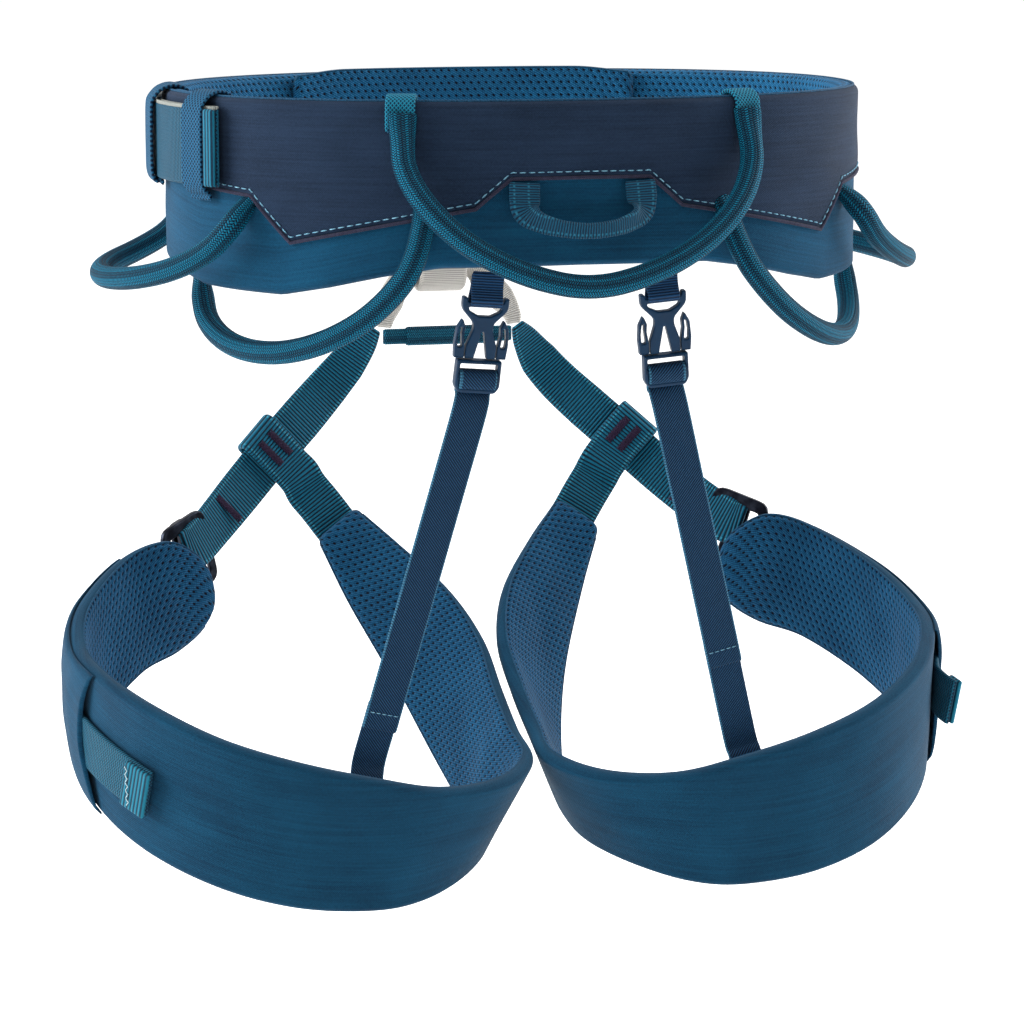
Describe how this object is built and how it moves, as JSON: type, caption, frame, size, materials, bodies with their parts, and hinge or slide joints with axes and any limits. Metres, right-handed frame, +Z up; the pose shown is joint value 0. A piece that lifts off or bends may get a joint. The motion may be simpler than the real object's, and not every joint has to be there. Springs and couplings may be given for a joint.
{
  "type": "climbing harness",
  "caption": "Climbing sit harness: padded waistbelt and leg loops, metal buckles, belay loop, braided gear loops, rear risers with side-release buckles.",
  "frame": {"origin": "centre of the waist opening, 39 mm below the belt's top edge", "axes": "+X to the wearer's right, +Y to the wearer's front, +Z up"},
  "size_m": [0.3728, 0.2648, 0.319],
  "materials": {
    "navy_fabric": "matt woven nylon",
    "blue_fabric": "matt woven nylon",
    "foam": "closed-cell foam",
    "mesh_fabric": "spacer mesh",
    "grey_webbing": "woven high-strength webbing",
    "gear_cord": "braided sheath",
    "buckle_plastic": "moulded plastic",
    "elastic_webbing": "woven elastic",
    "buckle_metal": "dark anodised, light rim",
    "keeper_elastic": "knitted elastic",
    "teal_webbing": "ribbed nylon webbing"
  },
  "bodies": {
    "waistbelt": {"belt_yoke": "navy_fabric", "belt_lower_panel": "blue_fabric", "belt_foam": "foam", "belt_mesh_lining": "mesh_fabric", "belt_front_flap": "mesh_fabric", "waist_webbing": "teal_webbing", "waist_buckle_frame": "buckle_metal", "waist_strap_tail": "teal_webbing", "tail_keeper_front": "keeper_elastic", "tail_keeper_rear": "keeper_elastic", "rear_gear_loop_tabs": "gear_cord", "upper_tie_in_loop": "grey_webbing"},
    "waist_slider": {"waist_buckle_slider": "buckle_metal"},
    "rear_gear_loop": {"rear_gear_loop": "gear_cord"},
    "haul_loop": {"haul_loop": "teal_webbing"},
    "belay_loop": {"belay_loop": "grey_webbing"},
    "lower_tie_in": {"lower_tie_in_loop": "grey_webbing", "bridge_strap": "teal_webbing", "bridge_sleeve": "teal_webbing"},
    "side_gear_loop_right": {"side_gear_loop_right": "gear_cord"},
    "front_gear_loop_right": {"front_gear_loop_right": "gear_cord"},
    "leg_loop_right": {"leg_outer_shell_right": "blue_fabric", "leg_foam_right": "foam", "leg_mesh_lining_right": "mesh_fabric", "leg_main_webbing_right": "teal_webbing", "leg_inner_webbing_right": "teal_webbing", "leg_webbing_loop_right": "teal_webbing", "leg_buckle_frame_right": "buckle_metal", "leg_tail_sleeve_right": "blue_fabric", "leg_strap_tail_right": "teal_webbing", "riser_stub_right": "elastic_webbing"},
    "leg_slider_right": {"leg_buckle_slider_right": "buckle_metal"},
    "riser_upper_right": {"riser_tab_right": "elastic_webbing", "riser_buckle_male_right": "buckle_plastic"},
    "riser_lower_right": {"riser_buckle_female_right": "buckle_plastic", "riser_elastic_right": "elastic_webbing"},
    "riser_arm_outer_right": {"riser_pinch_arm_outer_right": "buckle_plastic"},
    "riser_arm_inner_right": {"riser_pinch_arm_inner_right": "buckle_plastic"},
    "side_gear_loop_left": {"side_gear_loop_left": "gear_cord"},
    "front_gear_loop_left": {"front_gear_loop_left": "gear_cord"},
    "leg_loop_left": {"leg_outer_shell_left": "blue_fabric", "leg_foam_left": "foam", "leg_mesh_lining_left": "mesh_fabric", "leg_main_webbing_left": "teal_webbing", "leg_inner_webbing_left": "teal_webbing", "leg_webbing_loop_left": "teal_webbing", "leg_buckle_frame_left": "buckle_metal", "leg_tail_sleeve_left": "blue_fabric", "leg_strap_tail_left": "teal_webbing", "riser_stub_left": "elastic_webbing"},
    "leg_slider_left": {"leg_buckle_slider_left": "buckle_metal"},
    "riser_upper_left": {"riser_tab_left": "elastic_webbing", "riser_buckle_male_left": "buckle_plastic"},
    "riser_lower_left": {"riser_buckle_female_left": "buckle_plastic", "riser_elastic_left": "elastic_webbing"},
    "riser_arm_outer_left": {"riser_pinch_arm_outer_left": "buckle_plastic"},
    "riser_arm_inner_left": {"riser_pinch_arm_inner_left": "buckle_plastic"}
  },
  "joints": [
    {"name": "waist_slider_slide", "type": "slide", "parent": "waistbelt", "child": "waist_slider", "axis": [-0.9128, -0.4084, 0], "range_m": [0, 0.004]},
    {"name": "rear_gear_loop_swing", "type": "hinge", "parent": "waistbelt", "child": "rear_gear_loop", "pos_m": [0, -0.1008, 0.034], "axis": [-1, 0, 0], "range_deg": [0, 35]},
    {"name": "haul_loop_swing", "type": "hinge", "parent": "waistbelt", "child": "haul_loop", "pos_m": [0, -0.106, 0.0075], "axis": [-1, 0, 0], "range_deg": [0, 60]},
    {"name": "belay_loop_swing", "type": "hinge", "parent": "waistbelt", "child": "belay_loop", "pos_m": [0, 0.1285, 0.019], "axis": [1, 0, 0], "range_deg": [0, 12], "stiffness_Nm_per_rad": 1.6, "springref_deg": -34.38},
    {"name": "lower_tie_in_swing", "type": "hinge", "parent": "belay_loop", "child": "lower_tie_in", "pos_m": [0, 0.1285, -0.049], "axis": [1, 0, 0], "range_deg": [0, 12], "stiffness_Nm_per_rad": 1.6, "springref_deg": -34.38},
    {"name": "side_gear_loop_right_swing", "type": "hinge", "parent": "waistbelt", "child": "side_gear_loop_right", "pos_m": [0.09575, -0.06595, -0.02575], "axis": [-0.6768, -0.6899, 0.2567], "range_deg": [0, 28]},
    {"name": "front_gear_loop_right_swing", "type": "hinge", "parent": "waistbelt", "child": "front_gear_loop_right", "pos_m": [0.12905, -0.00995, -0.011], "axis": [-0.11, -0.9693, 0.2201], "range_deg": [0, 28]},
    {"name": "leg_loop_right_drop", "type": "hinge", "parent": "lower_tie_in", "child": "leg_loop_right", "pos_m": [0, 0.1095, -0.075], "axis": [1, 0, 0], "range_deg": [0, 25], "stiffness_Nm_per_rad": 0.8, "springref_deg": -34.38},
    {"name": "leg_slider_right_slide", "type": "slide", "parent": "leg_loop_right", "child": "leg_slider_right", "axis": [0.7596, -0.5769, -0.3005], "range_m": [0, 0.003]},
    {"name": "riser_right_swing", "type": "hinge", "parent": "waistbelt", "child": "riser_upper_right", "pos_m": [0.034, -0.0962, -0.02697], "axis": [-0.9999, 0.0139, 0.0017], "range_deg": [0, 50]},
    {"name": "riser_right_release", "type": "slide", "parent": "riser_upper_right", "child": "riser_lower_right", "axis": [0.0871, 0.1233, -0.9885], "range_m": [0, 0.0115]},
    {"name": "riser_arm_outer_right_squeeze", "type": "hinge", "parent": "riser_upper_right", "child": "riser_arm_outer_right", "pos_m": [0.04487, -0.09237, -0.05862], "axis": [-0.014, -0.9921, -0.125], "range_deg": [0, 6], "stiffness_Nm_per_rad": 0.05},
    {"name": "riser_arm_inner_right_squeeze", "type": "hinge", "parent": "riser_upper_right", "child": "riser_arm_inner_right", "pos_m": [0.02883, -0.09197, -0.05998], "axis": [0.014, 0.9921, 0.125], "range_deg": [0, 6], "stiffness_Nm_per_rad": 0.05},
    {"name": "side_gear_loop_left_swing", "type": "hinge", "parent": "waistbelt", "child": "side_gear_loop_left", "pos_m": [-0.09575, -0.06595, -0.02575], "axis": [-0.6768, 0.6899, -0.2567], "range_deg": [0, 28]},
    {"name": "front_gear_loop_left_swing", "type": "hinge", "parent": "waistbelt", "child": "front_gear_loop_left", "pos_m": [-0.12905, -0.00995, -0.011], "axis": [-0.11, 0.9693, -0.2201], "range_deg": [0, 28]},
    {"name": "leg_loop_left_drop", "type": "hinge", "parent": "lower_tie_in", "child": "leg_loop_left", "pos_m": [0, 0.1095, -0.075], "axis": [1, 0, 0], "range_deg": [0, 25], "stiffness_Nm_per_rad": 0.8, "springref_deg": -34.38},
    {"name": "leg_slider_left_slide", "type": "slide", "parent": "leg_loop_left", "child": "leg_slider_left", "axis": [-0.7596, -0.5769, -0.3005], "range_m": [0, 0.003]},
    {"name": "riser_left_swing", "type": "hinge", "parent": "waistbelt", "child": "riser_upper_left", "pos_m": [-0.034, -0.0962, -0.02697], "axis": [-0.9999, -0.0139, -0.0017], "range_deg": [0, 50]},
    {"name": "riser_left_release", "type": "slide", "parent": "riser_upper_left", "child": "riser_lower_left", "axis": [-0.0871, 0.1233, -0.9885], "range_m": [0, 0.0115]},
    {"name": "riser_arm_outer_left_squeeze", "type": "hinge", "parent": "riser_upper_left", "child": "riser_arm_outer_left", "pos_m": [-0.04487, -0.09237, -0.05862], "axis": [-0.014, 0.9921, 0.125], "range_deg": [0, 6], "stiffness_Nm_per_rad": 0.05},
    {"name": "riser_arm_inner_left_squeeze", "type": "hinge", "parent": "riser_upper_left", "child": "riser_arm_inner_left", "pos_m": [-0.02883, -0.09197, -0.05998], "axis": [0.014, -0.9921, -0.125], "range_deg": [0, 6], "stiffness_Nm_per_rad": 0.05}
  ]
}
